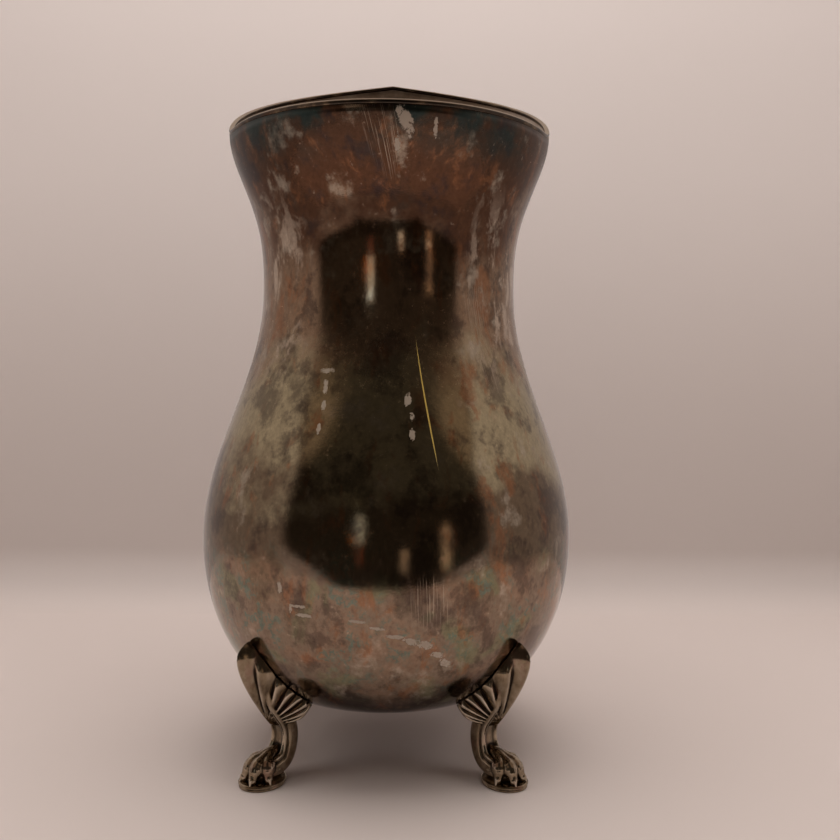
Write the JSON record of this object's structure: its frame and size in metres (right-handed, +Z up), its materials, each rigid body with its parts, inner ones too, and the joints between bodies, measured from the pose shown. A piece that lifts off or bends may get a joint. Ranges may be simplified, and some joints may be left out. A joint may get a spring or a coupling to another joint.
{
  "type": "water pitcher",
  "caption": "Footed hollow-ware water pitcher: pear-shaped body with a waisted neck and pouring lip, raised back, scroll handle and cast paw feet under fan-shaped knees.",
  "frame": {"origin": "centre of the bounding box's underside, on the surface the feet stand on", "axes": "+Z up along the body's own axis, -Y towards the pouring lip, +Y towards the handle, +X to the right of someone facing the lip"},
  "size_m": [0.1256, 0.1684, 0.2429],
  "materials": {
    "body_silver": "silver plate over brass, spun and polished, tarnished brown with blue-grey and olive patches",
    "rim_silver": "silver plate over brass, tarnished, rubbed bright on top",
    "foot_silver": "silver plate over cast brass, bright on the ridges and dark in the hollows",
    "handle_silver": "silver plate over cast brass, rubbed by the hand"
  },
  "bodies": {
    "root": {"body_shell": "body_silver", "base_disc": "body_silver", "rim_wire": "rim_silver", "foot_front_left": "foot_silver", "foot_front_right": "foot_silver", "foot_back_left": "foot_silver", "foot_back_right": "foot_silver", "handle": "handle_silver", "handle_upper_mount": "handle_silver", "handle_lower_mount": "handle_silver"}
  },
  "joints": []
}
